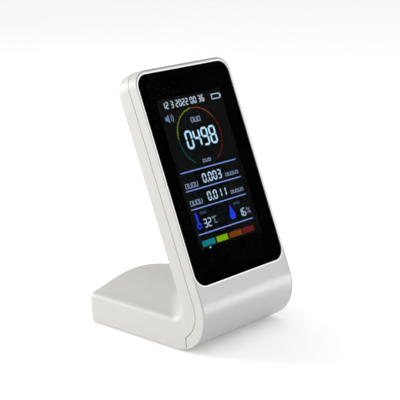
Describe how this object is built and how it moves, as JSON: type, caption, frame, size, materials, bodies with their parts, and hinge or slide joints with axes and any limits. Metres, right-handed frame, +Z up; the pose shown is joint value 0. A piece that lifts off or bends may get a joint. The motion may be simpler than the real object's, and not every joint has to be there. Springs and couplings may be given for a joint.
{
  "type": "air quality monitor",
  "caption": "Desktop air quality monitor: a leaning upright with a full-face display and rolled chin, on a hollow arched foot.",
  "frame": {"origin": "on the table, in the middle of the footprint", "axes": "+Z up, +X to the right seen from the front, the display faces -Y and leans back 20 degrees"},
  "size_m": [0.076, 0.0995, 0.1583],
  "materials": {
    "shell_white": "fine satin, moulded",
    "cover_silver": "silver lacquer, satin",
    "lens_clear": "polished acrylic",
    "mask_black": "black print on the back of the lens",
    "lcd_dark": "display glass",
    "diffuser": "white diffuser film",
    "dark_plastic": "moulded, matt",
    "polyimide": "amber film",
    "board_green": "solder mask",
    "sensor_gold": "gold-plated can",
    "steel": "zinc plated",
    "mesh_dark": "woven dust mesh",
    "rubber_grey": "matt",
    "battery_foil": "laminated foil",
    "lead_jacket": "insulated wire"
  },
  "bodies": {
    "housing": {"base_cover": "shell_white", "base_screw_1": "steel", "base_screw_2": "steel", "base_screw_3": "steel", "base_screw_4": "steel", "battery": "battery_foil", "battery_lead": "lead_jacket", "board_lead": "lead_jacket", "board_screw_1": "steel", "board_screw_2": "steel", "board_screw_3": "steel", "board_screw_4": "steel", "buzzer": "dark_plastic", "case_screw_1": "steel", "case_screw_2": "steel", "co2_sensor": "sensor_gold", "display_frame": "dark_plastic", "display_lens": "lens_clear", "display_mask": "mask_black", "display_ribbon": "polyimide", "foot_pad_1": "rubber_grey", "foot_pad_2": "rubber_grey", "foot_pad_3": "rubber_grey", "foot_pad_4": "rubber_grey", "formaldehyde_sensor": "steel", "front_cover": "cover_silver", "front_shell": "shell_white", "lcd_backlight": "diffuser", "lcd_panel": "lcd_dark", "main_board": "board_green", "processor_chip": "dark_plastic", "rear_shell": "shell_white", "tact_switch_1": "steel", "tact_switch_2": "steel", "tact_switch_3": "steel", "temp_humidity_sensor": "dark_plastic", "tvoc_sensor": "steel", "usb_board": "board_green", "usb_board_screw_1": "steel", "usb_board_screw_2": "steel", "usb_socket": "steel", "vent_mesh": "mesh_dark"},
    "push_1": {"button_1": "shell_white"},
    "push_2": {"button_2": "shell_white"},
    "push_3": {"button_3": "shell_white"}
  },
  "joints": [
    {"name": "button_1_press", "type": "slide", "parent": "housing", "child": "push_1", "axis": [0, -0.9397, 0.342], "range_m": [0, 0.0006], "stiffness_N_per_m": 1500},
    {"name": "button_2_press", "type": "slide", "parent": "housing", "child": "push_2", "axis": [0, -0.9397, 0.342], "range_m": [0, 0.0006], "stiffness_N_per_m": 1500},
    {"name": "button_3_press", "type": "slide", "parent": "housing", "child": "push_3", "axis": [0, -0.9397, 0.342], "range_m": [0, 0.0006], "stiffness_N_per_m": 1500}
  ]
}
